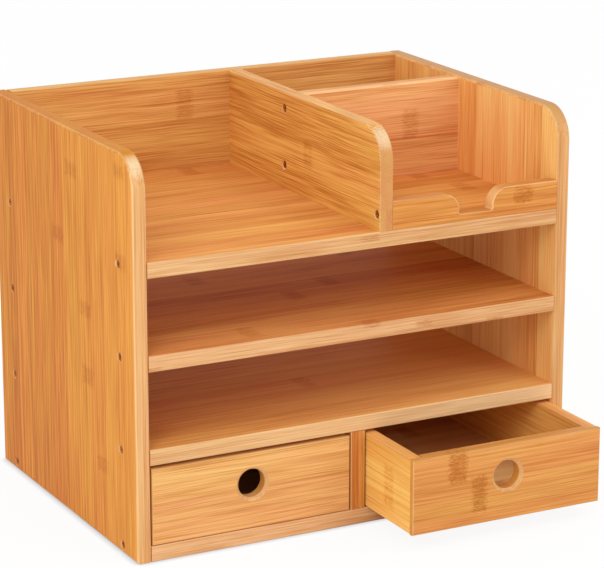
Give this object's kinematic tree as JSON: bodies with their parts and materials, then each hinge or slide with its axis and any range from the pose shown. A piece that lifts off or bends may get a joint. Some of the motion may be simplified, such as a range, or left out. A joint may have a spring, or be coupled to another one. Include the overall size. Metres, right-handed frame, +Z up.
{
  "type": "desk organizer with drawers",
  "caption": "Bamboo desk organizer with open letter trays, a divided upper storey for pens and note paper, and small pull-out drawers with finger holes.",
  "frame": {"origin": "centre of the case's footprint on the desk, with the drawers left out of account", "axes": "+X to the user's right, +Y to the back, +Z up; the drawers open towards -Y"},
  "size_m": [0.33, 0.302, 0.275],
  "materials": {
    "bamboo_panel": "satin",
    "bamboo_board": "satin",
    "bamboo_drawer": "satin",
    "drawer_floor": "satin",
    "screw": "satin"
  },
  "bodies": {
    "case": {"left_side_panel": "bamboo_panel", "right_side_panel": "bamboo_panel", "bottom_board": "bamboo_board", "lower_shelf": "bamboo_board", "middle_shelf": "bamboo_board", "top_shelf": "bamboo_board", "back_board": "bamboo_board", "upper_divider": "bamboo_board", "pen_partition": "bamboo_board", "note_lip": "bamboo_board", "drawer_divider": "bamboo_board", "drawer_stop": "bamboo_board"},
    "left_drawer": {"left_drawer_front": "bamboo_drawer", "left_drawer_left_side": "bamboo_drawer", "left_drawer_right_side": "bamboo_drawer", "left_drawer_back": "bamboo_drawer", "left_drawer_floor": "drawer_floor"},
    "right_drawer": {"right_drawer_front": "bamboo_drawer", "right_drawer_left_side": "bamboo_drawer", "right_drawer_right_side": "bamboo_drawer", "right_drawer_back": "bamboo_drawer", "right_drawer_floor": "drawer_floor"}
  },
  "joints": [
    {"name": "left_drawer_slide", "type": "slide", "parent": "case", "child": "left_drawer", "axis": [0, -1, 0], "range_m": [0, 0.18]},
    {"name": "right_drawer_slide", "type": "slide", "parent": "case", "child": "right_drawer", "axis": [0, -1, 0], "range_m": [-0.064, 0.116]}
  ]
}
